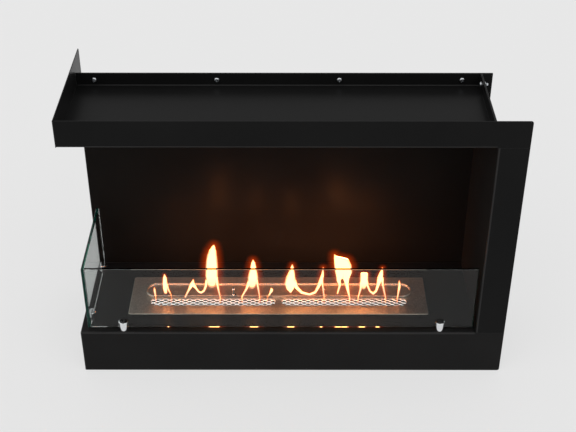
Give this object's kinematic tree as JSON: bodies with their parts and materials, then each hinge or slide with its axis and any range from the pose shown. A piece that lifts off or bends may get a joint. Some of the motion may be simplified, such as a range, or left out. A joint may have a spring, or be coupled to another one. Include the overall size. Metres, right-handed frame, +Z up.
{
  "type": "bioethanol fireplace",
  "caption": "Built-in corner bioethanol fireplace, open at the front and left, with low glass panes on posts and a drop-in long burner with a sliding snuffer lid.",
  "frame": {"origin": "middle of the footprint at floor level", "axes": "+X to the right along the width, +Y from the front to the back, +Z up"},
  "size_m": [0.76, 0.262, 0.524],
  "materials": {
    "black_coat": "fine-textured matt black powder coat on folded sheet steel",
    "brushed_stainless": "brushed stainless steel, grain along the length, slightly warmed by heat",
    "tank_stainless": "mill-finish stainless steel with welded edges",
    "expanded_mesh": "bright expanded stainless mesh",
    "chrome": "polished chrome",
    "zinc_steel": "zinc-plated steel",
    "clear_glass": "clear toughened glass with polished green edges",
    "ceramic_wool": "white ceramic fibre wool"
  },
  "bodies": {
    "firebox": {"top_tray": "black_coat", "left_fascia": "black_coat", "base_skirt": "black_coat", "base_rear_flange": "black_coat", "base_right_flange": "black_coat", "hearth_floor": "black_coat", "left_skirt": "black_coat", "right_wall": "black_coat", "back_panel": "black_coat", "top_rear_screw_1": "zinc_steel", "top_rear_screw_2": "zinc_steel", "top_rear_screw_3": "zinc_steel", "top_rear_screw_4": "zinc_steel", "top_rear_nut_1": "zinc_steel", "top_rear_nut_2": "zinc_steel", "top_rear_nut_3": "zinc_steel", "top_rear_nut_4": "zinc_steel", "top_side_bolt_1": "zinc_steel", "top_side_bolt_2": "zinc_steel", "top_side_nut_1": "zinc_steel", "top_side_nut_2": "zinc_steel", "base_rear_screw_1": "zinc_steel", "base_rear_screw_2": "zinc_steel", "base_rear_screw_3": "zinc_steel", "base_rear_screw_4": "zinc_steel", "base_rear_nut_1": "zinc_steel", "base_rear_nut_2": "zinc_steel", "base_rear_nut_3": "zinc_steel", "base_rear_nut_4": "zinc_steel", "base_side_bolt_1": "zinc_steel", "base_side_bolt_2": "zinc_steel", "base_side_nut_1": "zinc_steel", "base_side_nut_2": "zinc_steel", "front_glass": "clear_glass", "side_glass": "clear_glass", "front_left_glass_post": "chrome", "front_left_grub_screw": "zinc_steel", "front_left_post_screw": "zinc_steel", "front_right_glass_post": "chrome", "front_right_grub_screw": "zinc_steel", "front_right_post_screw": "zinc_steel", "side_front_glass_post": "chrome", "side_front_grub_screw": "zinc_steel", "side_front_post_screw": "zinc_steel", "side_rear_glass_post": "chrome", "side_rear_grub_screw": "zinc_steel", "side_rear_post_screw": "zinc_steel"},
    "burner": {"burner_plate": "brushed_stainless", "tank_floor": "tank_stainless", "tank_left_end": "tank_stainless", "tank_right_end": "tank_stainless", "tank_front_wall": "tank_stainless", "tank_back_wall": "tank_stainless", "ceramic_wool": "ceramic_wool", "left_slot_mesh": "expanded_mesh", "right_slot_mesh": "expanded_mesh"},
    "lid": {"snuffer_lid": "brushed_stainless", "lid_knob_left": "chrome", "lid_knob_right": "chrome"}
  },
  "joints": [
    {"name": "burner_lift", "type": "slide", "parent": "firebox", "child": "burner", "axis": [0, 0, 1], "range_m": [0, 0.205]},
    {"name": "lid_slide", "type": "slide", "parent": "burner", "child": "lid", "axis": [0, -1, 0], "range_m": [0, 0.0304]}
  ]
}
